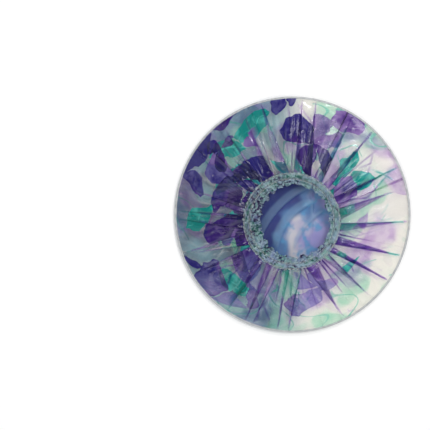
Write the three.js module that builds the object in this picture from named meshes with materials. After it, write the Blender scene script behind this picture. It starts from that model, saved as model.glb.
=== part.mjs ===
// A bouffant shower cap of printed film, laid flat on its crown with the elastic opening upwards.
// Millimetres, +Z up. The origin is on the table, under the centre of the round rim.
import * as THREE from "three";

// Driving dimensions
const capRadius = 140; // cap centre to the outer edge of the rim
const filmWall = 0.5; // wall of each film piece
const clearance = 0.3; // gap between two pieces that lie on each other
const rimLipWidth = 2.2; // heat-sealed lip that joins the two panels
const rimHeight = 3.4; // underside of the lip above the table
const crownRestRadius = 112; // the crown panel lies flat inside this radius
const openingShift = new THREE.Vector2(-1.5, -8); // opening centre from cap centre
const openingHeight = 20; // floor of the hem casing above the table
const elasticRadius = 53.5; // mid-line of the relaxed elastic
const elasticWidth = 3.5;
const elasticThickness = 0.8;
const elasticLap = 12; // overlap of the elastic's two ends
const elasticRamp = 16; // length over which the upper end climbs onto the lower one
const casingSlack = 0.5; // room beside the elastic on each side
const casingLipWidth = 1.8; // stitched margin that holds the side panel's edge
const ruffleWidth = 9; // frill inside the casing
const ruffleRootWidth = 2; // flat margin of the frill under its stitches
const ruffleDepth = 1.7; // how far the frill waves up and down
const ruffleEdgeWave = 1.1; // how far its inner edge waves in and out
const pleatDepth = 4; // height of a fold near the opening
const pleatEndGap = 1.2; // flat strip of the side panel between its folds and the casing
const gatherDepth = 0.9; // ruching on the roof of the casing
const threadRadius = 0.22;
const stitchRise = 0.25; // hump of each stitch
const tackMargin = 0.6; // edge of the elastic to the middle of the nearest tack stitch

// Counts
const pleatCount = 30;
const ruffleWaves = 40;
const stitchCount = 72;
const roundSteps = 96;
const elasticSteps = 84;
const tackStrokes = 7;
const tackTubeSteps = 35;
const tackSides = 3; // per half turn of its section

// Shares, chosen by hand
const pleatTurnShares = [0, 0.36, 0.66, 0.78]; // place of each fold point along one pleat
const pleatLiftShares = [0, 0.42, 1, 0.12]; // its height: a slow rise, a crest and a steep drop
const foldRowShares = [0.42, 0.88]; // rows of the side panel between the rim and the casing
const foldDepthShares = [0.5, 1]; // how deep the folds are in those rows
const panelBulge = 1.5; // above 1 the side panel rises faster at the rim than at the opening
const crownEdgeShares = [0.4, 0.7, 1]; // places on the crown panel's upturned edge
const tackLengthShare = 0.6; // of the elastic's overlap

// Worked out from the dimensions
const panelEdgeRadius = capRadius - rimLipWidth - clearance;
const casingHalf = elasticWidth / 2 + casingSlack;
const slotHeight = filmWall + 2 * clearance;
const elasticFloor = openingHeight + clearance;
const lapFloor = elasticFloor + elasticThickness + clearance;
const tackHeight = lapFloor + elasticThickness + clearance + threadRadius;
const casingCeiling = tackHeight + threadRadius + clearance;
const casingLipRadius = elasticRadius + casingHalf + casingLipWidth;
const panelSlotRadius = elasticRadius + casingHalf + clearance;
const casingInnerRadius = elasticRadius - casingHalf - filmWall;
const ruffleRootRadius = casingInnerRadius - clearance;
const ruffleRootHeight = openingHeight + filmWall;
const flatRowShare = (panelEdgeRadius - casingLipRadius - pleatEndGap) / (panelEdgeRadius - panelSlotRadius);
const lowerEdgeTop = rimHeight + filmWall;
const upperEdgeFloor = lowerEdgeTop + clearance;

// Colours of the materials
const printedFilm = { color: 0xb9a8d2, roughness: 0.3, metalness: 0, transparent: true, opacity: 0.75 };
const hemFilm = { color: 0xa9bdc4, roughness: 0.35, metalness: 0, transparent: true, opacity: 0.8 };
const sealedFilm = { color: 0xb4b8ba, roughness: 0.3, metalness: 0, transparent: true, opacity: 0.8 };
const knitElastic = { color: 0xc3cfc6, roughness: 0.9, metalness: 0 };
const whiteThread = { color: 0xdfe3e0, roughness: 0.8, metalness: 0 };

// A closed body through cross-sections of equally many points. Each section runs clockwise when it is
// seen against the direction of travel. A ring joins its last section to its first.
function loft(sections, isRing) {
  const count = sections[0].length;
  const spans = isRing ? sections.length : sections.length - 1;
  const faces = [];
  for (let s = 0; s < spans; s++) {
    const near = s * count;
    const far = ((s + 1) % sections.length) * count;
    for (let k = 0; k < count; k++) {
      const next = (k + 1) % count;
      faces.push(near + k, far + k, far + next, near + k, far + next, near + next);
    }
  }
  if (!isRing) {
    const last = (sections.length - 1) * count;
    for (let k = 1; k < count - 1; k++) {
      faces.push(0, k, k + 1);
      faces.push(last, last + k + 1, last + k);
    }
  }
  const geometry = new THREE.BufferGeometry().setFromPoints(sections.flat());
  geometry.setIndex(faces);
  return geometry;
}

// The point at an angle, a radius and a height round a centre.
function around(centre, angle, radius, height) {
  return new THREE.Vector3(
    centre.x + radius * Math.cos(angle),
    centre.y + radius * Math.sin(angle),
    height,
  );
}

// A ring whose [radius, height] outline, listed anticlockwise, may change from step to step.
function ring(steps, centre, outlineAt) {
  const sections = [];
  for (let i = 0; i < steps; i++) {
    const angle = (2 * Math.PI * i) / steps;
    sections.push(outlineAt(i).map(([radius, height]) => around(centre, angle, radius, height)));
  }
  return loft(sections, true);
}

// A ring of film of one wall, on undersides that list each step's points from the outer to the inner edge.
// Its two faces are split along the same diagonals, so that folds never pinch the wall.
function filmRing(undersides, wall) {
  const steps = undersides.length;
  const rows = undersides[0].length;
  const under = undersides.flat();
  const top = under.map((p) => p.clone().setZ(p.z + wall));
  const faces = [];
  const quad = (a, b, c, d) => faces.push(a, b, c, a, c, d);
  for (let step = 0; step < steps; step++) {
    const near = step * rows;
    const far = ((step + 1) % steps) * rows;
    const up = under.length;
    for (let row = 0; row < rows - 1; row++) {
      quad(near + row + up, far + row + up, far + row + 1 + up, near + row + 1 + up);
      faces.push(near + row, far + row + 1, far + row);
      faces.push(near + row, near + row + 1, far + row + 1);
    }
    const last = rows - 1;
    quad(near, far, far + up, near + up);
    quad(near + last, near + last + up, far + last + up, far + last);
  }
  const geometry = new THREE.BufferGeometry().setFromPoints([...under, ...top]);
  geometry.setIndex(faces);
  return geometry;
}

function named(name, geometry, material) {
  geometry.computeVertexNormals();
  const mesh = new THREE.Mesh(geometry, new THREE.MeshStandardMaterial(material));
  mesh.name = name;
  return mesh;
}

// Round back panel: flat where it lies on the table, then turned up to the rim.
function crownPanel() {
  const edgeWidth = panelEdgeRadius - crownRestRadius;
  const underside = [
    new THREE.Vector2(0, 0),
    new THREE.Vector2(crownRestRadius, 0),
    ...crownEdgeShares.map(
      (share) => new THREE.Vector2(crownRestRadius + share * edgeWidth, rimHeight * share ** 2),
    ),
  ];
  const topside = underside.map((p) => new THREE.Vector2(p.x, p.y + filmWall)).reverse();
  const geometry = new THREE.LatheGeometry([...underside, ...topside], roundSteps);
  geometry.rotateX(Math.PI / 2);
  return geometry;
}

// Heat-sealed lip outside the two panels' edges.
function rimWeld() {
  const innerRadius = capRadius - rimLipWidth;
  const top = upperEdgeFloor + filmWall;
  const outline = [
    [innerRadius, rimHeight],
    [capRadius, rimHeight],
    [capRadius, top],
    [innerRadius, top],
  ];
  return ring(roundSteps, new THREE.Vector2(), () => outline);
}

// Height of the side panel's underside at a share of the way from the rim to the casing, without folds.
function panelFloor(share) {
  const slotFloor = openingHeight + clearance;
  return upperEdgeFloor + (slotFloor - upperEdgeFloor) * (1 - (1 - share) ** panelBulge);
}

// Ring of film from the rim to the casing, gathered by folds that lean one way and grow inwards.
function sidePanel() {
  const rowShares = [0, ...foldRowShares, flatRowShare, 1];
  const depthShares = [0, ...foldDepthShares, 0, 0];
  const pitch = (2 * Math.PI) / pleatCount;
  const undersides = [];
  for (let pleat = 0; pleat < pleatCount; pleat++)
    pleatTurnShares.forEach((turnShare, k) => {
      const angle = pitch * (pleat + turnShare);
      const underside = rowShares.map((share, row) => {
        const centre = openingShift.clone().multiplyScalar(share);
        const radius = THREE.MathUtils.lerp(panelEdgeRadius, panelSlotRadius, share);
        const fold = pleatDepth * pleatLiftShares[k] * depthShares[row];
        return around(centre, angle, radius, panelFloor(share) + fold);
      });
      undersides.push(underside);
    });
  return filmRing(undersides, filmWall);
}

// Channel of folded film round the elastic. Its slot, on the outer side, holds the side panel's edge.
function hemCasing() {
  const outer = elasticRadius + casingHalf;
  const inner = elasticRadius - casingHalf;
  const slotTop = openingHeight + slotHeight;
  return ring(roundSteps, openingShift, (i) => {
    const roof = casingCeiling + filmWall + gatherDepth * (i % 2);
    return [
      [casingLipRadius, openingHeight],
      [inner, openingHeight],
      [inner, casingCeiling],
      [outer, casingCeiling],
      [outer, slotTop],
      [casingLipRadius, slotTop],
      [casingLipRadius, slotTop + filmWall],
      [outer + filmWall, slotTop + filmWall],
      [outer, roof],
      [inner, roof],
      [casingInnerRadius, openingHeight - filmWall],
      [casingLipRadius, openingHeight - filmWall],
    ];
  });
}

// Free frill of doubled film inside the casing, waving more and more towards its inner edge.
function hemRuffle() {
  const stepsPerWave = 4;
  const undersides = [];
  for (let i = 0; i < ruffleWaves * stepsPerWave; i++) {
    const angle = (2 * Math.PI * i) / (ruffleWaves * stepsPerWave);
    const wave = Math.sin((2 * Math.PI * i) / stepsPerWave);
    const swell = Math.cos((2 * Math.PI * i) / stepsPerWave);
    const edgeRadius = ruffleRootRadius - ruffleWidth + ruffleEdgeWave * swell;
    undersides.push([
      around(openingShift, angle, ruffleRootRadius, ruffleRootHeight),
      around(openingShift, angle, ruffleRootRadius - ruffleRootWidth, ruffleRootHeight),
      around(openingShift, angle, edgeRadius, ruffleRootHeight + ruffleDepth * wave),
    ]);
  }
  return filmRing(undersides, 2 * filmWall);
}

// Flat knitted loop. Its two ends overlap, the upper one climbing onto the lower.
function elasticBand() {
  const lapAngle = elasticLap / elasticRadius;
  const rampAngle = elasticRamp / elasticRadius;
  const inner = elasticRadius - elasticWidth / 2;
  const outer = elasticRadius + elasticWidth / 2;
  const sections = [];
  for (let i = 0; i <= elasticSteps; i++) {
    const angle = ((2 * Math.PI + lapAngle) * i) / elasticSteps;
    const climb = THREE.MathUtils.smoothstep(angle, 2 * Math.PI - rampAngle, 2 * Math.PI);
    const floor = THREE.MathUtils.lerp(elasticFloor, lapFloor, climb);
    const outline = [
      [inner, floor],
      [outer, floor],
      [outer, floor + elasticThickness],
      [inner, floor + elasticThickness],
    ];
    sections.push(outline.map(([radius, height]) => around(openingShift, angle, radius, height)));
  }
  return loft(sections, false);
}

// Zigzag of thread on the elastic's overlap.
function elasticTack() {
  const lapAngle = elasticLap / elasticRadius;
  const reach = elasticWidth / 2 - tackMargin;
  const points = [];
  for (let i = 0; i <= tackStrokes; i++) {
    const along = (i / tackStrokes - 1 / 2) * tackLengthShare + 1 / 2;
    const radius = elasticRadius + (i % 2 ? reach : -reach);
    points.push(around(openingShift, lapAngle * along, radius, tackHeight));
  }
  const section = new THREE.Shape();
  section.absarc(0, 0, threadRadius, 0, 2 * Math.PI);
  return new THREE.ExtrudeGeometry(section, {
    steps: tackTubeSteps,
    curveSegments: tackSides,
    extrudePath: new THREE.CatmullRomCurve3(points),
  });
}

// One row of stitches round the opening, each a low hump of thread on the film under it.
function stitchRow(radius, surface) {
  const stepsPerStitch = 2;
  return ring(stitchCount * stepsPerStitch, openingShift, (i) => {
    const height = surface + clearance + threadRadius + stitchRise * (i % stepsPerStitch);
    return [
      [radius - threadRadius, height],
      [radius, height - threadRadius],
      [radius + threadRadius, height],
      [radius, height + threadRadius],
    ];
  });
}

const lipSurface = openingHeight + slotHeight + filmWall;
const lipMiddle = casingLipRadius - casingLipWidth / 2 + filmWall / 2;
const rootSurface = ruffleRootHeight + 2 * filmWall;
const rootMiddle = ruffleRootRadius - ruffleRootWidth / 2;

const cap = new THREE.Group();
cap.add(
  named("crown_panel", crownPanel(), printedFilm),
  named("side_panel", sidePanel(), printedFilm),
  named("rim_weld", rimWeld(), sealedFilm),
);

const opening = new THREE.Group();
opening.add(
  named("hem_casing", hemCasing(), hemFilm),
  named("hem_ruffle", hemRuffle(), hemFilm),
  named("elastic_band", elasticBand(), knitElastic),
  named("elastic_lap_tack", elasticTack(), whiteThread),
  named("outer_stitch_row", stitchRow(lipMiddle, lipSurface), whiteThread),
  named("inner_stitch_row", stitchRow(rootMiddle, rootSurface), whiteThread),
);

const showerCap = new THREE.Group();
showerCap.add(cap, opening);

export default showerCap;
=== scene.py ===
"""A bouffant shower cap of printed film, lying flat on its crown with the elastic opening upwards."""
import math
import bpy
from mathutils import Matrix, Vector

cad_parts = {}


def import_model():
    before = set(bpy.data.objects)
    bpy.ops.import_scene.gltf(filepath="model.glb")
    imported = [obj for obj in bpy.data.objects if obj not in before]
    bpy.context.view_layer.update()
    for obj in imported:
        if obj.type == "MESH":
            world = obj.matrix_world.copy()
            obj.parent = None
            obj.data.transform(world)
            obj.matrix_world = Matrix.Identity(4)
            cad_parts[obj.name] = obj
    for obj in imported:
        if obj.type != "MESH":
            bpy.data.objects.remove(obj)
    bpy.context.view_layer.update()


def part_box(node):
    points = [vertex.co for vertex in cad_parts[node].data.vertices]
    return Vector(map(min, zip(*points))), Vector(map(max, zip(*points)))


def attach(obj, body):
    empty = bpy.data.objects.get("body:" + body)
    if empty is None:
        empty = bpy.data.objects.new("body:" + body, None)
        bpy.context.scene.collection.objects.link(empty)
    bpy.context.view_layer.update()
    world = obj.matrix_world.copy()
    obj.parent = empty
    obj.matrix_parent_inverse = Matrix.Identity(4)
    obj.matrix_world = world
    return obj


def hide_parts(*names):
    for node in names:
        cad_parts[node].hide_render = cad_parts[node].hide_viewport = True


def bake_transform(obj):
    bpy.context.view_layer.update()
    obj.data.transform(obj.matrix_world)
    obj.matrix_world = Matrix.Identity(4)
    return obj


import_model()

from types import SimpleNamespace

import bpy
import numpy as np
from mathutils import Vector

MM = 0.001
TURN = 2 * math.pi


# Places and sizes from the frame

def middle(node):
    low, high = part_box(node)
    return np.array([(low[i] + high[i]) / 2 for i in range(3)])


def half_width(node):
    low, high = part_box(node)
    return (high[0] - low[0]) / 2


RIM_RADIUS = half_width("rim_weld")
EDGE_RADIUS = half_width("side_panel")
LIP_RADIUS = half_width("hem_casing")
ROOT_RADIUS = half_width("hem_ruffle")
OPENING = middle("hem_casing")[:2]
RIM_LOW, RIM_HIGH = (corner[2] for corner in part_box("rim_weld"))
RIM_HEIGHT = (RIM_LOW + RIM_HIGH) / 2
CASING_LOW, CASING_HIGH = (corner[2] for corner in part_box("hem_casing"))
ELASTIC_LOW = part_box("elastic_band")[0][2]
TACK_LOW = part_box("elastic_lap_tack")[0][2]
OUTER_STITCH_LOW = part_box("outer_stitch_row")[0][2]
INNER_STITCH_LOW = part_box("inner_stitch_row")[0][2]

# Film and its flat cut
STRIP_LENGTH = TURN * EDGE_RADIUS  # the side panel is a straight strip, as long as the rim
STRIP_WIDTH = 98 * MM  # from the rim to the casing
CASING_CUT = 17 * MM
FRILL_CUT = 17.5 * MM
FILM_GAP = 0.3 * MM  # between the layers of a fold
SEALED_RADIUS = EDGE_RADIUS + 0.4 * MM  # both panels reach this far into the seal
SEALED_OFFSET = 0.15 * MM  # and lie this far over and under its middle

# Rows of the side panel, from the rim to the opening
ROWS = 70
SHARE = np.linspace(0, 1, ROWS)
CENTRE = SHARE[:, None] * OPENING
INNER_RADIUS = LIP_RADIUS - 1.2 * MM
RADIUS = SEALED_RADIUS + (INNER_RADIUS - SEALED_RADIUS) * SHARE

# Pleats and creases of the side panel
LARGE_PLEATS = 27
SHARP_CREASES = 130
LEAST_PLEAT = 0.1 * MM  # width of a pleat's columns where the film isn't folded
HIGHEST_PLEAT = 2.2 * MM
PLAIN_STEP = 1.3 * MM  # between the columns from one pleat to the next
# Painted shade: the dark lines along creases and pleat edges
CREASE_HALF = 1.3 * MM  # half width of the dark line along a crease
PLEAT_EDGE_HALF = 1.1 * MM

# Elastic, and the angles that its lap and its climb onto the lap take up
ELASTIC_MIDDLE = half_width("elastic_band") - 1.75 * MM
LAP_ANGLE = 12 * MM / ELASTIC_MIDDLE
RAMP_ANGLE = 16 * MM / ELASTIC_MIDDLE

# Camera: the rim's circle fills this place of the photograph's 430-pixel frame
FRAME_PIXELS = 430
RIM_CENTRE_PIXELS = (292.5, 214.5)
RIM_RADIUS_PIXELS = 118
LENS_MM = 180
SENSOR_MM = 36

# Stage: each lamp's name, place (m), side (m) and power (W)
LAMPS = (
    ("key", (0.5, 0.45, 1.7), 0.55, 9),
    ("glint", (0.4, 1.15, 1.2), 0.14, 4),
    ("fill", (-0.9, 0.6, 1.5), 0.8, 2.5),
    ("low", (-0.5, -0.8, 1.2), 0.5, 2.5),
)
SKY_STRENGTH = 0.56
FLOOR_HALF = 30.0  # m
FLOOR_DROP = 0.2 * MM  # the floor lies this far under the cap


# Smooth noise

def smoothstep(low, high, value):
    t = np.clip((value - low) / (high - low), 0, 1)
    return t * t * (3 - 2 * t)


def round_noise(angle, low, high, count, rng):
    """Noise of about -1 to 1 round the circle, from waves of low to high turns."""
    total = np.zeros_like(angle)
    for _ in range(count):
        total += np.sin(rng.integers(low, high + 1) * angle + rng.uniform(0, TURN))
    return total / math.sqrt(count)


def plane_noise(x, y, wavelength, count, rng):
    """Noise of about -1 to 1 over a plane, from waves in all directions."""
    total = np.zeros_like(x)
    for _ in range(count):
        way, phase = rng.uniform(0, TURN, 2)
        along = x * math.cos(way) + y * math.sin(way)
        total += np.sin(TURN * along / (wavelength * rng.uniform(0.7, 1.5)) + phase)
    return total / math.sqrt(count)


# Meshes

def smooth_mesh(name, points, faces, material):
    mesh = bpy.data.meshes.new(name)
    mesh.from_pydata(points, [], faces)
    mesh.shade_smooth()
    mesh.materials.append(material)
    return mesh


def add_object(name, data):
    made = bpy.data.objects.new(name, data)
    bpy.context.scene.collection.objects.link(made)
    return made


def mesh_piece(name, points, faces, material, flat=None, marks=()):
    """A smooth mesh piece. flat gives each face corner's place on the flat film, in metres."""
    mesh = smooth_mesh(name, points.tolist(), faces.tolist(), material)
    if flat is not None:
        layer = mesh.uv_layers.new(name="flat")
        layer.data.foreach_set("uv", flat.ravel().astype(np.float32))
    for key, values in marks:
        attribute = mesh.attributes.new(key, "FLOAT", "POINT")
        attribute.data.foreach_set("value", values.ravel().astype(np.float32))
    return add_object(name, mesh)


def between(index, after):
    """Four corners of each cell of a grid, from its rows of points and from the points after those."""
    corners = [index[:-1], after[:-1], after[1:], index[1:]]
    return np.stack([c.reshape(-1, *index.shape[2:]) for c in corners], axis=1)


def grid_piece(name, points, material, flat=None, marks=(), closed=True, around=0):
    """A piece from points[row, column]. The columns close into a ring where closed is set.
    around is the flat film's length once round the ring."""
    rows, columns = points.shape[:2]
    index = np.arange(rows * columns).reshape(rows, columns)
    after = np.roll(index, -1, axis=1)
    if not closed:
        index, after = index[:, :-1], after[:, :-1]
    uv = None
    if flat is not None:
        here, there = flat, np.roll(flat, -1, axis=1).copy()
        if closed:
            there[:, -1, 0] += around
        else:
            here, there = here[:, :-1], there[:, :-1]
        uv = between(here, there)
    return mesh_piece(name, points.reshape(-1, 3), between(index, after), material, uv, marks)


def turned(centre, angle, radius, height):
    return np.stack([centre[0] + radius * np.cos(angle), centre[1] + radius * np.sin(angle),
                     height * np.ones_like(angle)], axis=-1)


def tube_faces(index):
    """Faces along a tube from its rings of points, and one over each end."""
    sides = between(index, np.roll(index, -1, axis=1)).tolist()
    return sides + [index[0, ::-1].tolist(), index[-1].tolist()]


def tubes(name, paths, radius, sides, material):
    """Round thread along each path of points, narrowed and closed at both ends."""
    turn = (TURN * np.arange(sides) / sides)[:, None]
    points, faces = [], []
    for path in paths:
        along = np.gradient(path, axis=0)
        along /= np.linalg.norm(along, axis=1)[:, None]
        side = np.cross(along, [0, 0, 1.0])
        side /= np.linalg.norm(side, axis=1)[:, None]
        up = np.cross(side, along)
        size = np.full((len(path), 1, 1), radius)
        size[[0, -1]] = radius / 4
        rings = path[:, None] + size * (side[:, None] * np.cos(turn) + up[:, None] * np.sin(turn))
        index = len(points) + np.arange(len(path) * sides).reshape(-1, sides)
        points += rings.reshape(-1, 3).tolist()
        faces += tube_faces(index)
    return add_object(name, smooth_mesh(name, points, faces, material))


# Node materials

class Shader:
    """One node material, built by short calls. A number, colour or vector may stand for a socket."""

    def __init__(self, name):
        self.material = bpy.data.materials.new(name)
        self.material.use_nodes = True
        self.tree = self.material.node_tree
        self.tree.nodes.clear()

    def node(self, kind, inputs=(), **settings):
        made = self.tree.nodes.new(kind)
        for key, value in settings.items():
            setattr(made, key, value)
        for key, value in dict(inputs).items():
            if isinstance(value, bpy.types.NodeSocket):
                self.tree.links.new(value, made.inputs[key])
            else:
                made.inputs[key].default_value = value
        return made

    def math(self, operation, a, b=0.0, c=0.0, **settings):
        return self.node("ShaderNodeMath", {0: a, 1: b, 2: c}, operation=operation, **settings).outputs[0]

    def scaled(self, value, factor, offset=0.0, **settings):
        """value times factor, plus offset."""
        return self.math("MULTIPLY_ADD", value, factor, offset, **settings)

    def vector(self, operation, a, b=(0, 0, 0)):
        made = self.node("ShaderNodeVectorMath", {0: a, 1: b}, operation=operation)
        return made.outputs["Value" if operation == "LENGTH" else "Vector"]

    def moved(self, place, x, y):
        return self.vector("ADD", place, (x, y, 0))

    def parts(self, vector):
        return self.node("ShaderNodeSeparateXYZ", {0: vector}).outputs

    def channels(self, value):
        return self.node("ShaderNodeSeparateColor", {0: value}).outputs

    def mix(self, factor, a, b, **settings):
        return self.node("ShaderNodeMix", {0: factor, 6: a, 7: b}, data_type="RGBA", **settings).outputs[2]

    def multiply(self, factor, a, b):
        return self.mix(factor, a, b, blend_type="MULTIPLY")

    def blend(self, factor, a, b):
        return self.node("ShaderNodeMix", {0: factor, 2: a, 3: b}, data_type="FLOAT").outputs[0]

    def step(self, value, low, high, to_low=0.0, to_high=1.0):
        return self.node("ShaderNodeMapRange", {0: value, 1: low, 2: high, 3: to_low, 4: to_high},
                         interpolation_type="SMOOTHSTEP").outputs[0]

    def noise(self, place, size, detail=2.0, roughness=0.5):
        inputs = {"Vector": place, "Scale": 1 / size, "Detail": detail, "Roughness": roughness}
        return self.node("ShaderNodeTexNoise", inputs, noise_dimensions="2D").outputs[0]

    def cells(self, place, size):
        """Cells about size apart: (place in the cell, its centre, channels of its random colour)."""
        made = self.node("ShaderNodeTexVoronoi", {"Vector": place, "Scale": 1 / size, "Randomness": 0.85},
                         voronoi_dimensions="2D").outputs
        local = self.vector("SUBTRACT", place, made["Position"])
        return local, made["Position"], self.channels(made["Color"])

    def bump(self, strength, distance, height):
        inputs = {"Strength": strength, "Distance": distance, "Height": height}
        return self.node("ShaderNodeBump", inputs).outputs[0]

    def mixed(self, factor, shader, other):
        return self.node("ShaderNodeMixShader", {0: factor, 1: shader.outputs[0], 2: other.outputs[0]})

    def mark(self, name):
        """A value that the mesh carries at each of its points."""
        return self.node("ShaderNodeAttribute", attribute_name=name).outputs["Fac"]

    def flat(self):
        """The place on the flat film."""
        return self.node("ShaderNodeUVMap", uv_map="flat").outputs[0]

    def surface(self, shader):
        self.node("ShaderNodeOutputMaterial", {"Surface": shader.outputs[0]})
        return self.material


def colour(red, green, blue):
    """A linear colour from one given in 0 to 255."""
    parts = [v / 255 for v in (red, green, blue)]
    return (*[v / 12.92 if v <= 0.04045 else ((v + 0.055) / 1.055) ** 2.4 for v in parts], 1.0)


# How each ink looks on clear film over white, or thin and dense where there are two
CLEAR = colour(254, 252, 246)
# painted sheen, not an ink: the white that the gathered film is streaked toward
SHEEN_WHITE = colour(238, 240, 238)
LAVENDER = colour(232, 216, 240), colour(200, 166, 222)
MINT = colour(222, 247, 236), colour(174, 234, 212)
BLUE_VIOLET = colour(150, 142, 214), colour(34, 24, 118)
RED_VIOLET = colour(190, 152, 224), colour(66, 24, 130)
TEAL = colour(92, 214, 200), colour(0, 142, 134)
STEM = colour(120, 208, 188)
# Layered ink on pleats, and painted shade along creases and pleat edges
FOLD_INK_AND_SHADE_VIOLET = colour(72, 34, 146)
FOLD_INK_AND_SHADE_TEAL = colour(14, 118, 116)
CROWN_SLATE = colour(26, 56, 98)
CROWN_HAZE = colour(92, 152, 170)
CROWN_INDIGO = colour(48, 60, 130)
CROWN_BLUE = colour(86, 126, 178)
CROWN_SKY = colour(84, 152, 200)
# painted highlight on the tops of the crown's folds
CROWN_FOLD_HIGHLIGHT = colour(128, 164, 196)
CROWN_PALE = colour(208, 206, 214)
CROWN_LILAC = colour(152, 148, 204)
HEM_GREY = colour(146, 190, 190), colour(160, 186, 214)
# painted highlight on the hem's crests
HEM_CREST_HIGHLIGHT = colour(192, 216, 224)
HEM_SPECKS = colour(48, 36, 92), colour(14, 100, 92)
SEAL_GREY = colour(172, 176, 179), colour(206, 209, 211)
ELASTIC_GREY = colour(198, 208, 200)
KNIT_SHADE = colour(150, 160, 154)
THREAD_WHITE = colour(226, 230, 228)

# The print's motifs stand one to a cell. Leaves: size of the cell, half length, half width, shift of the
# cells (m). Blooms: size of the cell, reach of a petal, shift of the cells (m), extra share left out
TEAL_LEAVES = 66 * MM, 31 * MM, 14 * MM, 0.59
VIOLET_LEAVES = 92 * MM, 27 * MM, 17 * MM, 0.71
BLOOMS = (86 * MM, 30 * MM, 0.93, 0.34), (128 * MM, 62 * MM, 1.17, 0.0)
PETAL_COUNT = 5
WANDER = 16 * MM  # how far the edges of all motifs stray
PETAL_LENGTH_SHARES = 0.62, 1.2  # of the reach, from the shortest petal to the longest
INK_EDGE = -0.2 * MM, 0.4 * MM  # ink fades in from just outside the edge to just inside
SPARSE_TURN = 0.75  # how far clockwise of +X the print is sparsest, in radians


def petals(s, warped, size, reach, shift, missing):
    """Blooms of separate round petals, one bloom to a cell, no two petals alike and some missing.
    Gives (mask, tone, distance inside the edge)."""
    local, centre, pick = s.cells(s.moved(warped, shift, -shift), size)
    x, y, _ = s.parts(local)
    turn = s.scaled(pick[0], TURN, s.math("ARCTAN2", y, x))
    turn = s.scaled(turn, PETAL_COUNT / TURN)
    petal = s.math("FLOOR", turn)
    own = s.node("ShaderNodeTexWhiteNoise", {"Vector": centre, "W": petal}, noise_dimensions="4D")
    length, kept, tone = s.channels(own.outputs["Color"])
    across = s.math("SUBTRACT", s.math("SUBTRACT", turn, petal), 0.5)
    lobe = s.math("POWER", s.math("COSINE", s.scaled(across, math.pi)), 0.62)
    far = s.step(length, 0.0, 1.0, *(share * reach for share in PETAL_LENGTH_SHARES))
    far = s.scaled(far, s.step(kept, missing, s.math("ADD", missing, 0.04)))
    far = s.scaled(far, s.scaled(lobe, 0.86, 0.14))
    inside = s.math("SUBTRACT", far, s.vector("LENGTH", local))
    return s.step(inside, *INK_EDGE), tone, inside


def leaves(s, warped, size, length, width, shift, missing):
    """Almond leaves, one to a cell, turned at random and some missing: (mask, distance from the midrib)."""
    local, _, pick = s.cells(s.moved(warped, shift, shift), size)
    local = s.node("ShaderNodeVectorRotate", {"Vector": local, "Angle": s.scaled(pick[0], TURN)},
                   rotation_type="Z_AXIS").outputs[0]
    x, y, _ = s.parts(local)
    along = s.math("DIVIDE", x, length)
    half = s.scaled(s.math("SUBTRACT", 1.0, s.scaled(along, along)), width)
    rib = s.math("ABSOLUTE", y)
    mask = s.step(s.math("SUBTRACT", half, rib), *INK_EDGE)
    return s.scaled(mask, s.step(pick[1], missing, s.math("ADD", missing, 0.02))), rib


def print_side(s, flat):
    """1 on the side of the cap where the print is sparse, -1 on the other."""
    return s.math("COSINE", s.scaled(s.parts(flat)[0], TURN / STRIP_LENGTH, SPARSE_TURN))


def missing_share(s, flat, sparse):
    """Share of motifs left out: all at the rim of the sparse side, and fewer there near the opening."""
    inward = s.step(s.parts(flat)[1], 25 * MM, 80 * MM)
    change = s.scaled(inward, s.scaled(sparse, -0.24, -0.2))
    return s.math("ADD", change, s.scaled(sparse, 0.44, 0.56))


def ground_wash(s, flat, wet, second):
    """Lavender and mint washes with thin stems over them: (tint, scatter)."""
    lavender = s.step(s.noise(s.moved(flat, -0.6, 0.77), 80 * MM), 0.5, 0.58)
    tint = s.mix(lavender, CLEAR, s.mix(wet, *LAVENDER))
    scatter = s.blend(lavender, 0.06, 0.14)
    mint = s.step(second, 0.53, 0.59)
    tint = s.multiply(mint, tint, s.mix(wet, *MINT))
    scatter = s.blend(mint, scatter, 0.2)
    veins = s.math("ABSOLUTE", s.math("SUBTRACT", s.noise(flat, 70 * MM, 1.0), 0.5))
    stem = s.scaled(s.step(veins, 0.005, 0.009, 1.0, 0.0), s.step(second, 0.44, 0.47))
    return s.mix(stem, tint, STEM), scatter


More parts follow.
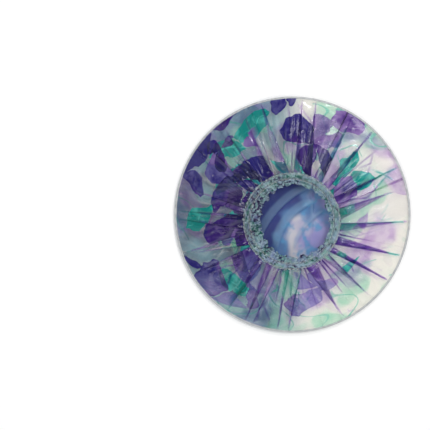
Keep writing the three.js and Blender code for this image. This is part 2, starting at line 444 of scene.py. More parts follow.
def watercolour(s, flat):
    """The print: what the film lets through, and how much light it scatters back."""
    drift = s.vector("SUBTRACT", s.noise(flat, 30 * MM, 3.0).node.outputs["Color"], (0.5, 0.5, 0.5))
    warped = s.vector("ADD", flat, s.vector("MULTIPLY", drift, (WANDER, WANDER, WANDER)))
    pool = s.noise(flat, 17 * MM, 4.0, 0.55)
    second = s.noise(s.moved(flat, -0.9, 0.14), 64 * MM)
    wet = s.step(pool, 0.3, 0.7)
    sparse = print_side(s, flat)
    missing = missing_share(s, flat, sparse)
    tint, scatter = ground_wash(s, flat, wet, second)

    leaf, rib = leaves(s, warped, *TEAL_LEAVES, missing)
    beside = s.scaled(s.step(rib, 0.3 * MM, 0.7 * MM), 0.5, wet, use_clamp=True)
    tint = s.mix(leaf, tint, s.mix(beside, *TEAL))
    scatter = s.blend(leaf, scatter, 0.62)

    warm = s.step(second, 0.46, 0.54)
    thin, deep = (s.mix(warm, BLUE_VIOLET[k], RED_VIOLET[k]) for k in (0, 1))
    loose, _ = leaves(s, warped, *VIOLET_LEAVES, missing)
    dense = s.step(pool, 0.25, 0.75, 0.35, 1.0)
    tint = s.mix(loose, tint, s.mix(dense, thin, deep))
    scatter = s.blend(loose, scatter, s.step(dense, 0.0, 1.0, 0.34, 0.6))

    weak = s.scaled(sparse, -0.54, 0.08)
    for size, reach, shift, fewer in BLOOMS:
        mask, tone, inside = petals(s, warped, size, reach, shift, s.math("ADD", missing, fewer))
        rim = s.step(inside, 0.4 * MM, 3.0 * MM, 0.22, 0.0)
        fade = s.step(inside, 0.0, 0.7 * reach, 0.0, 0.3)
        dense = s.math("ADD", s.math("ADD", tone, rim), s.math("SUBTRACT", weak, fade))
        dense = s.math("ADD", dense, s.scaled(pool, 1.6, -0.8), use_clamp=True)
        tint = s.mix(mask, tint, s.multiply(0.6, s.mix(dense, thin, deep), tint))
        scatter = s.blend(mask, scatter, s.step(dense, 0.0, 1.0, 0.2, 0.6))
    return tint, scatter


def fold_ink_and_shade(s, flat, tint, scatter):
    """Pleats' top layers get darker and scatter more, as ink adds up where film lies in layers; the dark
    lines along creases and pleat edges are painted shade.
    """
    pool = s.noise(flat, 19 * MM, 3.0)
    folded = s.scaled(s.math("POWER", s.mark("crease"), 1.1), s.step(pool, 0.36, 0.6, 0.6, 1.0))
    folded = s.scaled(folded, s.scaled(print_side(s, flat), 0.37, 0.63))
    teal = s.step(s.noise(s.moved(flat, 0.27, 0.58), 52 * MM, 1.0), 0.58, 0.61)
    layered_ink_and_shade = s.node("ShaderNodeGamma", {0: s.mix(teal, FOLD_INK_AND_SHADE_VIOLET, FOLD_INK_AND_SHADE_TEAL), 1: folded}).outputs[0]
    return s.multiply(1.0, tint, layered_ink_and_shade), s.blend(s.scaled(folded, 0.5), scatter, 0.6)


def gathered(s, flat, height, tint, scatter):
    """Fine lines down the gathered film as bump, and painted sheen: milky streaks of the tint, mostly where
    it holds little ink.
    """
    down = s.parts(flat)[1]
    stretched = s.vector("MULTIPLY", flat, (1.0, 0.07, 1.0))
    streak = s.noise(stretched, 4.5 * MM)
    height = s.scaled(streak, s.step(down, 8 * MM, 70 * MM, 0.2, 1.3), height)
    # Painted sheen: streaks of the tint mixed toward white, with more scatter
    painted_sheen = s.step(s.noise(stretched, 9 * MM, 3.0), 0.48, 0.7, 0.0, 0.3)
    painted_sheen = s.scaled(painted_sheen, s.step(down, 5 * MM, 50 * MM, 0.15, 1.0))
    painted_sheen = s.scaled(painted_sheen, s.step(scatter, 0.22, 0.4, 1.0, 0.25))
    return height, s.mix(painted_sheen, tint, SHEEN_WHITE), s.blend(painted_sheen, scatter, 0.6)


def film_material(name, crinkle, haze=0.0, wash=None, gathers=False):
    """Printed film: ink and film tint what shines through, scatter a little, and mirror like plastic.
    wash(s, flat, tint, scatter) may change the print."""
    s = Shader(name)
    flat = s.flat()
    tint, scatter = watercolour(s, flat)
    if wash:
        tint, scatter = wash(s, flat, tint, scatter)
    tint, scatter = fold_ink_and_shade(s, flat, tint, scatter)
    fine = s.noise(flat, 3.0 * MM, 3.0)
    soft = s.noise(flat, 11 * MM)
    cracks = s.node("ShaderNodeTexVoronoi", {"Vector": flat, "Scale": 1 / (17 * MM)},
                    voronoi_dimensions="2D", feature="DISTANCE_TO_EDGE").outputs[0]
    height = s.scaled(fine, 0.05, s.scaled(soft, 0.45))
    height = s.math("ADD", height, s.step(cracks, 0.0, 0.1, 0.2, 0.0))
    # gathered film also gets painted sheen streaks
    if gathers:
        height, tint, scatter = gathered(s, flat, height, tint, scatter)
    normal = s.bump(0.45 * crinkle, 0.8 * MM, height)
    once = s.node("ShaderNodeGamma", {0: tint, 1: 0.5}).outputs[0]  # light goes through on its way in and out
    through = s.node("ShaderNodeBsdfTransparent", {0: once})
    ink = s.node("ShaderNodeBsdfPrincipled", {
        "Base Color": tint, "Roughness": s.step(fine, 0.3, 0.7, 0.24, 0.36), "Specular IOR Level": 0.0,
        "Normal": normal})
    body = s.mixed(scatter, through, ink)
    mirror = s.node("ShaderNodeFresnel", {"IOR": 1.5, "Normal": normal}).outputs[0]
    rough = s.step(fine, 0.3, 0.7, 0.1 + haze, 0.18 + haze)
    gloss = s.node("ShaderNodeBsdfGlossy", {"Color": (1, 1, 1, 1), "Normal": normal, "Roughness": rough})
    return s.surface(s.mixed(s.scaled(mirror, 0.5), body, gloss))


def crown_wash(s, flat, tint, scatter):
    """Loose indigo, blue and lilac washes, deepest on one side under the opening and pale on the other."""
    big = s.noise(s.moved(flat, 0.62, 0.11), 46 * MM, 2.0, 0.45)
    other = s.noise(s.moved(flat, 0.12, 0.83), 34 * MM, 2.0, 0.45)
    small = s.noise(s.moved(flat, 0.44, 0.29), 15 * MM)
    x, y, _ = s.parts(flat)
    slope = s.scaled(x, -22.0, s.scaled(y, 9.0))
    deep = s.math("ADD", s.scaled(big, 2.2, -0.8), slope)
    lilac = s.scaled(other, 2.0, s.scaled(x, 9.0, -0.9))
    wash = s.mix(s.step(lilac, 0.0, 0.6), CROWN_PALE, CROWN_LILAC)
    wash = s.mix(s.step(deep, -0.3, 0.2), wash, CROWN_BLUE)
    wash = s.mix(s.step(small, 0.46, 0.72, 0.0, 0.95), wash, CROWN_SKY)
    wash = s.mix(s.step(deep, 0.22, 0.62), wash, CROWN_INDIGO)
    # Painted highlight: lighter along the tops of the folds
    wash = s.mix(s.scaled(s.mark("painted_highlight"), 0.4), wash, CROWN_FOLD_HIGHLIGHT)
    reach = s.vector("LENGTH", s.moved(flat, 1.5 * MM, 8 * MM))
    under = s.step(reach, 50 * MM, 72 * MM, 1.0, 0.0)
    cover = s.step(x, -30 * MM, 25 * MM, 1.0, 0.0)
    haze = s.scaled(s.math("ABSOLUTE", y), 4.0, other)
    outer = s.mix(cover, CLEAR, s.mix(s.step(haze, 0.45, 0.95), CROWN_SLATE, CROWN_HAZE))
    faint = s.multiply(0.12, outer, tint)
    return s.mix(under, faint, wash), s.blend(under, 0.06, 0.5)


def hem_tint(s, flat, tint, scatter):
    """Crumpled hem film: grey-green print with clusters of dark specks, and a painted highlight on its
    crests, lighter and milkier.
    """
    painted_highlight = s.mark("painted_highlight")
    place = s.vector("MULTIPLY", flat, (0.38, 1.0, 1.0))
    speck = s.noise(place, 3.2 * MM, 2.0, 0.6)
    patch = s.noise(place, 22 * MM, 1.0)
    cluster = s.noise(s.moved(place, 0.37, 0.21), 13 * MM, 1.0)
    cloud = s.noise(s.moved(place, 0.71, 0.43), 12 * MM, 1.0)
    tint = s.multiply(0.5, s.mix(s.step(cloud, 0.4, 0.6), *HEM_GREY), tint)
    ink = s.mix(s.step(patch, 0.52, 0.56), *HEM_SPECKS)
    side = s.math("COSINE", s.scaled(s.parts(flat)[0], TURN / STRIP_LENGTH))
    cluster = s.scaled(side, -0.09, cluster)
    amount = s.scaled(s.step(speck, 0.5, 0.57), s.step(cluster, 0.42, 0.54, 0.06, 1.0))
    # Painted highlight: lighter and milkier on the crests
    tint = s.mix(s.scaled(painted_highlight, 0.75), tint, HEM_CREST_HIGHLIGHT)
    return s.mix(amount, tint, ink), s.scaled(painted_highlight, 0.2, 0.42)


def seal_material():
    """Fused film: clear grey, with the fine cross ribs of the sealing bar."""
    s = Shader("sealed_film")
    flat = s.flat()
    rib_pitch = 1.1 * MM
    rib = s.math("SINE", s.scaled(s.parts(flat)[0], TURN / rib_pitch))
    cloud = s.noise(flat, 6 * MM, 3.0)
    return s.surface(s.node("ShaderNodeBsdfPrincipled", {
        "Base Color": s.mix(cloud, *SEAL_GREY),
        "Alpha": s.step(cloud, 0.3, 0.7, 0.66, 0.84),
        "Roughness": s.step(cloud, 0.3, 0.7, 0.22, 0.34),
        "IOR": 1.46,
        "Normal": s.bump(0.5, 0.12 * MM, rib)}))


def woven_material(name, base, roughness, weave):
    """A material with fine grain. weave(s, place, tint) gives its relief and its colour."""
    s = Shader(name)
    place = s.node("ShaderNodeTexCoord").outputs["Object"]
    grain = s.node("ShaderNodeTexNoise", {"Vector": place, "Scale": 1 / (0.6 * MM), "Detail": 3.0}).outputs[0]
    shade = (*(0.85 * v for v in base[:3]), 1)
    height, tint = weave(s, place, s.mix(grain, shade, base))
    return s.surface(s.node("ShaderNodeBsdfPrincipled", {
        "Base Color": tint, "Roughness": s.step(grain, 0.0, 1.0, roughness - 0.08, roughness + 0.08),
        "Normal": s.bump(0.6, 0.15 * MM, height)}))


def knit(s, place, tint):
    """Small stitches of a knitted band, darker between them."""
    wave = s.node("ShaderNodeTexVoronoi", {"Vector": place, "Scale": 1 / (0.55 * MM)}).outputs[0]
    return wave, s.mix(s.step(wave, 0.2, 0.7), tint, KNIT_SHADE)


def twist(s, place, tint):
    """Slanting ridges of a twisted thread."""
    wave = s.node("ShaderNodeTexWave", {"Vector": place, "Scale": 1 / (0.5 * MM), "Distortion": 2.0},
                  bands_direction="DIAGONAL").outputs[0]
    return wave, tint


# Crown

# Soft folds along arcs: centre (mm), radius (mm), turns that it spans (degrees), height (mm), and how far
# it falls away inside and outside its arc (mm)
CROWN_FOLDS = (
    ((66, -70), 112, (116, 158), 2.6, 1.4, 9),
    ((48, -48), 66, (112, 170), 2.8, 1.4, 9),
    ((74, -60), 74, (120, 166), 2.0, 1.6, 5),
    ((-150, 6), 174, (-12, 9), 1.5, 4, 1.2),
    ((30, -30), 98, (40, 120), 2.4, 8, 3),
    ((-20, 10), 78, (190, 285), 2.4, 3, 8),
    ((-190, -40), 262, (-14, 12), 2.2, 6, 3),
)


def arc_fold(x, y, centre, radius, turns, tall, inside, outside):
    """Height of a fold that follows an arc and fades at both ends."""
    off_x, off_y = x - centre[0] * MM, y - centre[1] * MM
    away = np.hypot(off_x, off_y) - radius * MM
    first, last = turns
    turn = (np.degrees(np.arctan2(off_y, off_x)) - first + 60) % 360 + first - 60
    fade = smoothstep(first - 12, first + 12, turn) * (1 - smoothstep(last - 12, last + 12, turn))
    across = away / (np.where(away > 0, outside, inside) * MM)
    return tall * MM * fade * np.exp(-(across**2))


def crown_film():
    """Round back panel: lies on the table in soft folds, and turns up to the rim."""
    rng = np.random.default_rng(11)
    line = np.linspace(-1, 1, 250)
    flat_radius = 112 * MM  # the panel turns up outside this
    lie = 0.35 * MM
    lowest = 0.15 * MM
    u, v = np.meshgrid(line, line)
    x, y = u * np.sqrt(1 - v * v / 2) * SEALED_RADIUS, v * np.sqrt(1 - u * u / 2) * SEALED_RADIUS
    radius = np.hypot(x, y)
    share, angle = radius / SEALED_RADIUS, np.arctan2(y, x)
    rise = np.clip((radius - flat_radius) / (EDGE_RADIUS - flat_radius), 0, 1) ** 2
    height = lie + rise * (RIM_HEIGHT - SEALED_OFFSET - lie)
    calm = 1 - smoothstep(0.75, 1.0, share)
    folds = np.max([arc_fold(x, y, *fold) for fold in CROWN_FOLDS], axis=0)
    height += calm * folds
    height += calm * 0.45 * MM * (1 + plane_noise(x, y, 44 * MM, 9, rng))
    height += 0.16 * MM * np.abs(plane_noise(x, y, 26 * MM, 7, rng)) * calm
    pucker = smoothstep(0.9, 0.97, share) * (1 - share) / 0.03
    height += 0.22 * MM * pucker * round_noise(angle, 50, 90, 5, rng)
    points = np.stack([x, y, np.maximum(height, lowest)], axis=-1)
    # where the folds stand highest, for a painted highlight
    painted_highlight = smoothstep(0.7, 1.5, folds / MM)
    piece = grid_piece("crown_film", points, film_material("crown_print", 0.5, 0.2, crown_wash),
                       np.stack([x, y], axis=-1), marks=[("painted_highlight", painted_highlight)], closed=False)
    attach(piece, "cap")
    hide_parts("crown_panel")


# Side panel

def side_spot(share, turn):
    """The place at this share of the way from the rim to the opening."""
    reach = SEALED_RADIUS + (INNER_RADIUS - SEALED_RADIUS) * share
    return share * OPENING + reach * np.array([math.cos(turn), math.sin(turn)])


def line_angle(start, end, near):
    """Angle, within half a turn of near, where the straight line from start to end crosses each row."""
    way = end - start
    off = start - CENTRE
    a = way @ way
    b = off @ way
    c = (off**2).sum(1) - RADIUS**2
    t = (-b - np.sqrt(np.maximum(b * b - a * c, 0))) / a
    hit = start + t[:, None] * way - CENTRE
    angle = np.arctan2(hit[:, 1], hit[:, 0])
    return near + (angle - near + math.pi) % TURN - math.pi


def line_place(x, y, a, b):
    """Each point's share of the way along the line from a to b, its offset, and the line's length."""
    way = b - a
    length = np.linalg.norm(way)
    way = way / length
    along = ((x - a[0]) * way[0] + (y - a[1]) * way[1]) / length
    return along, (x - a[0]) * way[1] - (y - a[1]) * way[0], length


def sharp_creases(x, y, rng):
    """Straight creases with a kink, mostly along the radius, each a ridge or a valley with plane sides.
    Gives the height and a mark of painted shade along the crease itself."""
    total, mark = np.zeros_like(x), np.zeros_like(x)
    for _ in range(SHARP_CREASES):
        turn = rng.uniform(0, TURN)
        near, far = np.sort(rng.uniform(58, 137, 2)) * MM
        kink = near + (far - near) * rng.uniform(0.35, 0.65)
        half = rng.uniform(3, 9) * MM
        tall = rng.choice([-1, 1]) * rng.uniform(0.35, 1.0) * MM * min(1, (far - near) / (25 * MM))
        spots = []
        for reach in (near, kink, far):
            spots.append(reach * np.array([math.cos(turn), math.sin(turn)]))
            turn += rng.normal(0, 0.09)
        height, line = np.zeros_like(x), np.zeros_like(x)
        for first, a, b in ((True, spots[0], spots[1]), (False, spots[1], spots[2])):
            along, off, length = line_place(x, y, a, b)
            beyond = length * (np.maximum(0, along - 1) if first else np.maximum(0, -along))
            off = np.hypot(off, beyond)
            fade = smoothstep(0, 0.5, along) if first else 1 - smoothstep(0.5, 1, along)
            height = np.maximum(height, np.clip(1 - off / half, 0, 1) * fade)
            line = np.maximum(line, fade * np.clip(1.1 - off / CREASE_HALF, 0, 1))
        total += tall * height
        mark = np.maximum(mark, line * min(1, 1.2 * abs(tall) / MM) * rng.choice([0.25, 0.9], p=[0.7, 0.3]))
    return total, mark


def line_mark(x, y, a, b):
    """Painted shade line along the edge of a pleat, on the line from a to b, which fades out over its last
    part.
    """
    along, off, _ = line_place(x, y, a, b)
    fade = smoothstep(-0.02, 0.0, along) * (1 - smoothstep(0.7, 1, along))
    return fade * np.clip(1.3 - 1.3 * np.abs(off) / PLEAT_EDGE_HALF, 0, 1)


def pleat_layout(rng):
    """Places of the pleats round the opening, each large one followed by up to two small ones. apex is the
    share of the way in at which a pleat starts, and depth how much its layers' tints add up."""
    large = np.array([kind for _ in range(LARGE_PLEATS) for kind in [True] + [False] * rng.integers(0, 3)])
    count = len(large)
    room = np.where(large, rng.uniform(0.5, 1.7, count), rng.uniform(0.15, 0.36, count))
    room *= TURN / room.sum()
    start = np.concatenate([[0], np.cumsum(room)[:-1]])
    cover = np.where(large, rng.uniform(0.5, 0.86, count), rng.uniform(0.45, 0.8, count))
    begin = start + room * (1 - cover) * rng.uniform(0.3, 0.7, count)
    columns = {
        "large": large,
        "room": room,
        "begin": begin,
        "finish": begin + room * cover,
        "apex": np.where(large, 0.02 + 0.42 * rng.beta(0.8, 2.0, count), rng.uniform(0.25, 0.8, count)),
        "lean": rng.choice([-1, 1], count, p=[0.4, 0.6]),
        "skew": rng.uniform(-0.5, 0.5, count) * room,
        "lift": rng.uniform(0.14, 0.36, count),
        "depth": rng.beta(0.8, 0.5, count),
    }
    pleats = [SimpleNamespace(**dict(zip(columns, values))) for values in zip(*columns.values())]
    for pleat in pleats:
        pleat.turn = (pleat.begin + pleat.finish) / 2 + pleat.skew
        pleat.tip = side_spot(pleat.apex, pleat.turn)
    return pleats


def pleat_edges(pleat, rng):
    """Painted shade lines along both edges of a pleat, which run on past its tip: (start, end, strength)."""
    edges = []
    for turn, seen in ((pleat.begin, pleat.lean < 0), (pleat.finish, pleat.lean > 0)):
        root = side_spot(1, turn)
        beyond = pleat.tip + (pleat.tip - root) * rng.uniform(0.1, 0.4)
        strength = (1.0 if seen else 0.45) * (0.5 + 0.5 * pleat.depth) * (1.0 if pleat.large else 0.45)
        edges.append((root, beyond, strength))
    return edges


def lay_pleat(pleat):
    """Lays one pleat in all rows: slack film outside its tip, three layers between its edges inside.
    first is the angle at which it starts, width that of one layer, and span that of the whole pleat."""
    one = line_angle(pleat.tip, side_spot(1, pleat.begin), pleat.turn)
    two = line_angle(pleat.tip, side_spot(1, pleat.finish), pleat.turn)
    flat_part = SHARE < pleat.apex
    outward = pleat.turn + pleat.skew * 0.3 * (pleat.apex - SHARE)
    one, two = np.where(flat_part, outward, one), np.where(flat_part, outward, two)
    slack = 0.17 * pleat.room * RADIUS * smoothstep(0.0, 0.3, pleat.apex - SHARE)
    width = np.where(flat_part, LEAST_PLEAT + slack, np.maximum((two - one) * RADIUS, LEAST_PLEAT))
    folded = np.where(flat_part, 0, smoothstep(0.15 * MM, 1.0 * MM, width))
    way = 1 - 2 * folded
    span = width * (2 + way)
    first = (one + two) / 2 - span / RADIUS / 2
    return SimpleNamespace(first=first, width=width, way=way, folded=folded, span=span, lean=pleat.lean)


def fold_profile(width, way, lift, depth, counts):
    """Columns across one knife pleat: (place across it, layer, crease, lift); crease tints the top layer as
    layered ink and marks painted shade along the folded edges.
    way is 1 where the film is flat and -1 where it is folded into three layers."""
    top, middle_layer, low = counts
    none = 0.0 * lift
    columns = []
    edge = np.minimum(1.1 * MM, 0.4 * width)  # the strip beside the fold that is marked as creased
    places = [((width - edge) * t, depth * (0.7 + 0.3 * t)) for t in np.linspace(0, 1, top - 2)]
    for at, crease in places + [(width - edge / 2, max(0.7, depth)), (width, 1.0)]:
        t = at / width
        columns.append((at, 2.0, crease, lift * (0.6 * np.sin(math.pi * t * 0.85) + 0.7 * t * t)))
    columns.append((width + way * -0.15 * MM, 1.5, 1.0, lift * 0.75))
    for t in np.linspace(0, 1, middle_layer):
        columns.append((width + way * width * t, 1.0, 0.0, lift * 0.65 * (1 - t) ** 1.5))
    columns.append((width + way * (width - 0.1 * MM), 0.5, 0.8, none))
    for t in np.linspace(0, 1, low):
        columns.append((width * (1 + way + t), 0.0, 0.0, none))
    return columns


def pleat_columns(pleat, laid):
    """Columns of one pleat: (angle, layer, crease, lift), each over all rows."""
    lift = laid.folded * np.minimum(laid.width * pleat.lift, HIGHEST_PLEAT)
    counts = (6, 3, 3) if pleat.large else (4, 2, 2)
    profile = fold_profile(laid.width, laid.way, lift, pleat.depth, counts)
    if pleat.lean < 0:
        profile = [(laid.span - at, *rest) for at, *rest in reversed(profile)]
    return [(laid.first + at / RADIUS, level * laid.folded, crease * laid.folded, puff)
            for at, level, crease, puff in profile]


def plain_columns(laid, after, ahead, swell):
    """Columns of the plain film up to the next pleat, which swells up or sinks. ahead is a whole turn
    where the next pleat is the first one again, else 0."""
    end = laid.first + laid.span / RADIUS
    way = after.first + ahead - end
    from_level = (0 if laid.lean > 0 else 2) * laid.folded
    to_level = (2 if after.lean > 0 else 0) * after.folded
    count = int(np.clip(way[ROWS // 8] * RADIUS[ROWS // 8] / PLAIN_STEP, 4, 30))
    columns = []
    for k in range(1, count + 1):
        t = k / (count + 1)
        ease = t * t * (3 - 2 * t)
        level = from_level * (1 - ease) + to_level * ease
        columns.append((end + way * t, level, 0 * SHARE, swell * math.sin(math.pi * t) * 0.8 * MM * SHARE))
    return columns


def strip_places(points, across):
    """Places on the flat strip: the length along each row, folds included, scaled to the strip's."""
    closing = np.concatenate([points, points[:, :1]], axis=1)
    steps = np.linalg.norm(np.diff(closing, axis=1), axis=2)
    along = np.concatenate([np.zeros((ROWS, 1)), np.cumsum(steps, axis=1)], axis=1)
    along *= STRIP_LENGTH / along[:, -1:]
    padded = np.pad(along, ((3, 3), (0, 0)), mode="edge")
    weights = (1, 2, 3, 4, 3, 2, 1)  # the print's edges don't jump from row to row
    along = sum(w * padded[k:k + ROWS] for k, w in enumerate(weights)) / sum(weights)
    return np.stack([along[:, :-1], across * STRIP_WIDTH], axis=-1)


def side_film():
    """The gathered side panel: a strip as long as the rim, laid in pressed folds that grow to the opening."""
    rng = np.random.default_rng(5)
    pleats = pleat_layout(rng)
    edges = [edge for pleat in pleats for edge in pleat_edges(pleat, rng)]
    laid = [lay_pleat(pleat) for pleat in pleats]
    columns = []
    for pleat, here, after in zip(pleats, laid, laid[1:] + laid[:1]):
        ahead = TURN if after is laid[0] else 0
        columns += pleat_columns(pleat, here)
        columns += plain_columns(here, after, ahead, rng.uniform(-0.4, 1.2))
    angle, level, crease, puff = (np.stack(values, axis=1) for values in zip(*columns))
    across = SHARE[:, None] * np.ones_like(angle)
    x = CENTRE[:, 0:1] + RADIUS[:, None] * np.cos(angle)
    y = CENTRE[:, 1:2] + RADIUS[:, None] * np.sin(angle)

    base_low = RIM_HEIGHT + SEALED_OFFSET
    base_high = CASING_LOW + 0.8 * MM
    base = base_low + (base_high - base_low) * (1 - (1 - across) ** 1.5)
    calm = 1 - smoothstep(0.88, 0.985, across)
    away_rim = smoothstep(0.0, 0.1, across)
    ripple = round_noise(angle, 70, 150, 7, rng) * 0.3 * MM * smoothstep(0.35, 0.95, across)
    ripple += round_noise(angle, 24, 60, 6, rng) * 0.45 * MM * smoothstep(0.1, 0.8, across)
    broad = plane_noise(x, y, 50 * MM, 9, rng) * 0.8 * MM
    facets, lines = sharp_creases(x, y, rng)
    # Painted shade lines along the pleat edges and the sharp creases join the crease mark
    for root, beyond, strength in edges:
        lines = np.maximum(lines, strength * line_mark(x, y, root, beyond))
    crease = np.maximum(crease, lines * smoothstep(0.0, 0.06, across))
    gap = FILM_GAP * (1 - 0.4 * smoothstep(0.85, 1.0, across))
    facets *= 1 - 0.55 * smoothstep(0.45, 0.9, across)
    height = base + level * gap + away_rim * (0.15 + 0.85 * calm) * (puff + ripple + broad + facets)
    points = np.stack([x, y, height], axis=-1)
    piece = grid_piece("side_film", points, film_material("side_print", 0.7, gathers=True),
                       strip_places(points, across), marks=[("crease", crease)], around=STRIP_LENGTH)
    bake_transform(piece)
    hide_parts("side_panel")


def rim_seal():
    """Heat-sealed lip: thin fused film, a little wavy."""
    rng = np.random.default_rng(3)
    steps = 480
    angle = TURN * np.arange(steps) / steps
    wave = 0.12 * MM * round_noise(angle, 6, 20, 5, rng)
    lower = ((-2.5, -0.14), (-1.8, -0.2), (-0.3, -0.18), (0.0, -0.05))  # out from the rim and up (mm)
    rings, flat = [], []
    for out, up in lower + tuple((out, -up) for out, up in reversed(lower)):
        rings.append(turned((0, 0), angle, RIM_RADIUS + out * MM, RIM_HEIGHT + up * MM + wave))
        flat.append(np.stack([angle * RIM_RADIUS, np.full(steps, out * MM)], axis=-1))
    piece = grid_piece("rim_seal", np.stack(rings), seal_material(), np.stack(flat),
                       around=TURN * RIM_RADIUS)
    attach(piece, "cap")
    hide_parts("rim_weld")


# Hem: casing and frill

HEM_STEPS = 2000
HEM_ANGLE = TURN * np.arange(HEM_STEPS) / HEM_STEPS


def crushed(across, radius, count, seed):
    """Gathers pressed over to one side or the other: how far each point of the film moves along the ring,
    as an angle, and its lift, in pitches of the gathers."""
    rng = np.random.default_rng(seed)
    turn = HEM_ANGLE
    phase = count * turn + 1.8 * round_noise(turn, 5, 30, 6, rng)
    phase += 2.4 * across * round_noise(turn, 12, 44, 6, rng)
    phase += 1.1 * plane_noise(radius * np.cos(turn), radius * np.sin(turn), 11 * MM, 8, rng)
    swell = np.clip(0.95 + 0.4 * round_noise(turn, 14, 60, 6, rng), 0.5, 1.35)
    lean = np.clip(1.5 * round_noise(turn, 9, 36, 6, rng), -1.3, 1.3)
    lift = -0.48 * np.cos(phase) * swell
    shift = 0.12 * np.sin(2 * phase) * swell + lean * lift
    return shift * TURN / count, lift


def seeded_noise(x, y, size, count, seed):
    """Noise over a plane that is the same for every ring of a piece."""
    return plane_noise(x, y, size, count, np.random.default_rng(seed))


def fine_creases(x, y, size, seed):
    """Fine raised creases, wandering over the film like the lines of crushed paper: 1 on a crease, else 0."""
    return np.exp(-((seeded_noise(x, y, size, 9, seed) / 0.2) ** 2))


def hem_piece(name, print_name, rings, places, painted_highlights):
    """Crumpled film from its rings of points, each at one place down the flat strip."""
    along = HEM_ANGLE / TURN * STRIP_LENGTH
    flat = [np.stack([along, np.full(HEM_STEPS, place)], axis=-1) for place in places]
    return grid_piece(name, np.stack(rings), film_material(print_name, 0.5, 0.18, hem_tint), np.stack(flat),
                      marks=[("painted_highlight", np.stack(painted_highlights))], around=STRIP_LENGTH)


def casing_film():
    """Gathered channel round the elastic, open on the outside where it holds the side panel's edge."""
    count = 124
    low, high = CASING_LOW + 0.25 * MM, CASING_HIGH - 1.3 * MM
    lip_top = OUTER_STITCH_LOW - 0.55 * MM
    inner = ROOT_RADIUS + 0.45 * MM
    outer = LIP_RADIUS - 1.8 * MM
    corners = np.array([
        (LIP_RADIUS, low), (inner + 0.6 * MM, low), (inner, low + 0.6 * MM), (inner, high - 0.9 * MM),
        (inner + 0.9 * MM, high), (outer - 0.8 * MM, high), (outer, high - 0.8 * MM),
        (outer + 0.2 * MM, lip_top + 0.3 * MM), (outer + 0.5 * MM, lip_top), (LIP_RADIUS, lip_top)])
    lengths = np.concatenate([[0], np.cumsum(np.linalg.norm(np.diff(corners, axis=0), axis=1))])
    spots = np.linspace(0, lengths[-1], 24)
    profile = np.stack([np.interp(spots, lengths, corners[:, k]) for k in (0, 1)], axis=1)
    along = np.gradient(profile, axis=0)
    along /= np.linalg.norm(along, axis=1)[:, None]
    out = np.stack([along[:, 1], -along[:, 0]], axis=1)
    share = spots / spots[-1]
    loose = smoothstep(0, 0.3, share) * (1 - smoothstep(0.82, 1, share))
    pitch = TURN * ROOT_RADIUS / count
    ragged = round_noise(HEM_ANGLE, 12, 100, 12, np.random.default_rng(33))
    rings, painted_highlights = [], []
    for k, radius in enumerate(profile[:, 0]):
        shift, lift = crushed(share[k], radius, count, 31)
        x, y = radius * np.cos(HEM_ANGLE), radius * np.sin(HEM_ANGLE)
        crumple = seeded_noise(x, y, 6 * MM, 8, 32)
        creased = fine_creases(x + 0.4 * spots[k], y - 0.7 * spots[k], 6.5 * MM, 34)
        move = loose[k] * (0.35 * MM + 0.22 * pitch * lift + 0.24 * MM * crumple + 0.3 * MM * creased)
        move += (1 - loose[k]) * 0.05 * pitch * lift
        at = profile[k][:, None] - out[k][:, None] * move
        at[0] += np.where(radius > outer, 1.0 * MM * (1 - loose[k]) * ragged - 0.3 * MM, 0)
        rings.append(turned(OPENING, HEM_ANGLE + shift, at[0], at[1]))
        # painted highlight, on the raised gathers and creases
        painted_highlights.append(np.maximum(0.45 * smoothstep(-0.1, 0.9, 0.9 * lift + 0.5 * crumple), creased))
    piece = hem_piece("casing_film", "casing_print", rings, STRIP_WIDTH + spots[-1] - spots, painted_highlights)
    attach(piece, "opening")
    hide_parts("hem_casing")


def frill():
    """Doubled free edge of the film, crushed into a frill inside the casing, wider on one side."""
    rng = np.random.default_rng(8)
    layer_rows, count = 17, 92
    across = np.concatenate([np.linspace(0, 1, layer_rows), np.linspace(1, 0, layer_rows)[1:]])
    layers = np.where(np.arange(len(across)) < layer_rows, 1, -1)
    root_height = INNER_STITCH_LOW - 1.0 * MM
    side = ((1 + np.cos(HEM_ANGLE - 3.23)) / 2) ** 2
    width = 5.4 * MM + 8.0 * MM * side + 1.2 * MM * round_noise(HEM_ANGLE, 8, 30, 6, rng)
    width += 0.9 * MM * round_noise(HEM_ANGLE, 40, 110, 6, rng)
    width = np.maximum(width, 3.0 * MM)
    pitch = TURN * ROOT_RADIUS / count
    roll = round_noise(HEM_ANGLE, 8, 26, 5, np.random.default_rng(44))
    rings, painted_highlights = [], []
    for share, layer in zip(across, layers):
        free = float(smoothstep(0.0, 0.5, share))
        radius = ROOT_RADIUS - width * share
        shift, lift = crushed(share, radius, count, 41)
        x, y = radius * np.cos(HEM_ANGLE), radius * np.sin(HEM_ANGLE)
        crumple = np.abs(seeded_noise(x, y, 8 * MM, 7, 42)) - 0.55
        small = np.abs(seeded_noise(x, y, 3.6 * MM, 7, 43)) - 0.55
        creased = fine_creases(x, y, 6 * MM, 45)
        gap = 0.7 * MM * math.sin(math.pi * min(share, 0.92)) + 0.12 * MM
        height = root_height + layer * gap / 2 * (share < 1)
        height = height + (0.16 + 0.16 * free) * pitch * lift + 0.35 * MM * creased
        height += free * MM * (1.2 * crumple + 0.7 * small)
        height += 0.7 * MM * share * roll
        rings.append(turned(OPENING, HEM_ANGLE + shift, radius, height))
        # painted highlight, on the raised gathers and creases
        shade = 0.45 * smoothstep(0.0, 1.1, 0.8 * lift + 0.9 * crumple + 0.5 * small + 0.3)
        painted_highlights.append(np.maximum(shade, creased))
    places = STRIP_WIDTH + CASING_CUT + layers * across * FRILL_CUT / 2
    piece = hem_piece("hem_frill", "frill_print", rings, places, painted_highlights)
    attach(piece, "opening")
    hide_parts("hem_ruffle")


# Elastic and thread

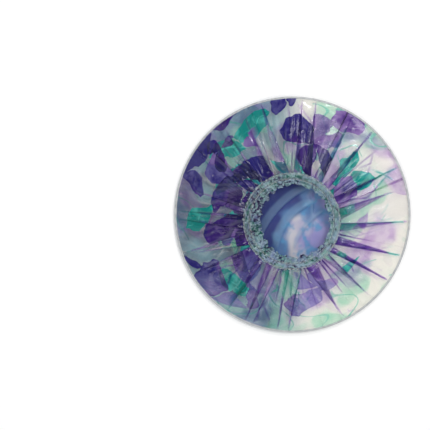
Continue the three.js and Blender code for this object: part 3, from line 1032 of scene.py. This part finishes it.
def elastic_braid():
    """Flat knitted loop with five lengthwise cords, its upper end climbing onto the lower."""
    steps, sides, cords = 560, 36, 5
    half, thick = 1.72 * MM, 0.34 * MM
    angle = np.linspace(0, TURN + LAP_ANGLE, steps)
    climb = smoothstep(TURN - RAMP_ANGLE, TURN, angle)
    centre = ELASTIC_LOW + 0.4 * MM + climb * 1.1 * MM
    turn = TURN * np.arange(sides) / sides
    wide, tall = (np.sign(wave) * np.abs(wave) ** 0.5 for wave in (np.cos(turn), np.sin(turn)))
    wide = wide * half
    tall = tall * thick * (1 + 0.16 * np.cos(wide / half * math.pi * cords))
    rows = [turned(OPENING, angle, ELASTIC_MIDDLE + w, centre + t) for w, t in zip(wide, tall)]
    points = np.stack(rows[::-1], axis=1).reshape(-1, 3).tolist()
    faces = tube_faces(np.arange(steps * sides).reshape(steps, sides))
    knitted = woven_material("elastic", ELASTIC_GREY, 0.85, knit)
    piece = add_object("elastic_braid", smooth_mesh("elastic_braid", points, faces, knitted))
    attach(piece, "opening")
    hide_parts("elastic_band")


def stitch_row(name, node, surface, thread):
    """One row of lockstitches round the opening, each dipping into the film at both ends."""
    count = 72
    half_share = 0.4  # of the pitch
    radius = half_width(node) - 0.22 * MM
    spread = np.linspace(-half_share, half_share, 9)
    lift = 0.32 * MM * (1 - (spread / half_share) ** 4) - 0.2 * MM
    paths = []
    for i in range(count):
        turn = (i + 0.5 + spread) * (TURN / count)
        paths.append(turned(OPENING, turn, radius, 0) + np.array([0, 0, 1]) * (surface + lift)[:, None])
    piece = tubes(name, paths, 0.2 * MM, 7, thread)
    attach(piece, "opening")
    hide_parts(node)


def lap_tack(thread):
    """Zigzag bar tack over the elastic's lap."""
    strokes = 9
    place = np.linspace(0, strokes, strokes * 8 + 1)
    swing = 2 * np.abs((place % 2) - 1) - 1
    turn = LAP_ANGLE * (0.2 + 0.6 * place / strokes)
    path = turned(OPENING, turn, ELASTIC_MIDDLE + 1.15 * MM * swing, TACK_LOW + 0.22 * MM)
    piece = tubes("lap_tack_thread", [path], 0.18 * MM, 7, thread)
    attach(piece, "opening")
    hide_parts("elastic_lap_tack")


# Stage

def camera():
    pixel = RIM_RADIUS / RIM_RADIUS_PIXELS
    half = FRAME_PIXELS / 2
    distance = half * pixel / (SENSOR_MM / 2 / LENS_MM)
    data = bpy.data.cameras.new("camera")
    data.lens, data.sensor_width = LENS_MM, SENSOR_MM
    data.clip_end = 20
    made = add_object("camera", data)
    made.location = ((half - RIM_CENTRE_PIXELS[0]) * pixel, (RIM_CENTRE_PIXELS[1] - half) * pixel,
                     RIM_HEIGHT + distance)
    bpy.context.scene.camera = made


def lamp(name, place, size, power):
    """A square lamp that shines at the middle of the cap."""
    data = bpy.data.lights.new(name, "AREA")
    data.shape, data.size, data.energy = "SQUARE", size, power
    made = add_object(name, data)
    made.location = place
    made.rotation_mode = "QUATERNION"
    made.rotation_quaternion = (-Vector(place)).to_track_quat("-Z", "Y")


def floor():
    s = Shader("floor")
    light = s.node("ShaderNodeLightPath").outputs
    seen = s.math("MAXIMUM", light["Is Camera Ray"], light["Is Glossy Ray"])
    seen = s.math("MAXIMUM", seen, light["Is Transmission Ray"])
    matt = s.node("ShaderNodeBsdfDiffuse", {"Color": (0.94, 0.94, 0.94, 1)})
    away = s.vector("LENGTH", s.node("ShaderNodeTexCoord").outputs["Object"])
    level = s.step(away, 0.3, 2.0, 0.08, 0.62)  # the far floor stays white, past the reach of the lamps
    glow = s.node("ShaderNodeEmission", {"Color": (1, 1, 1, 1), "Strength": s.scaled(seen, level)})
    material = s.surface(s.node("ShaderNodeAddShader", {0: matt.outputs[0], 1: glow.outputs[0]}))
    corners = [(x * FLOOR_HALF, y * FLOOR_HALF, -FLOOR_DROP) for x, y in ((-1, -1), (1, -1), (1, 1), (-1, 1))]
    made = mesh_piece("floor", np.array(corners), np.array([(0, 1, 2, 3)]), material)


def world():
    made = bpy.data.worlds.new("studio")
    bpy.context.scene.world = made
    made.use_nodes = True
    background = made.node_tree.nodes["Background"].inputs
    background[0].default_value = (1, 1, 1, 1)
    background[1].default_value = SKY_STRENGTH


def main():
    bpy.context.scene.view_settings.view_transform = "Standard"
    bpy.context.scene.cycles.transparent_max_bounces = 32
    camera()
    world()
    for values in LAMPS:
        lamp(*values)
    floor()
    crown_film()
    rim_seal()
    side_film()
    elastic_braid()
    casing_film()
    frill()
    thread = woven_material("thread", THREAD_WHITE, 0.75, twist)
    stitch_row("outer_stitches", "outer_stitch_row", OUTER_STITCH_LOW, thread)
    stitch_row("inner_stitches", "inner_stitch_row", INNER_STITCH_LOW, thread)
    lap_tack(thread)


main()
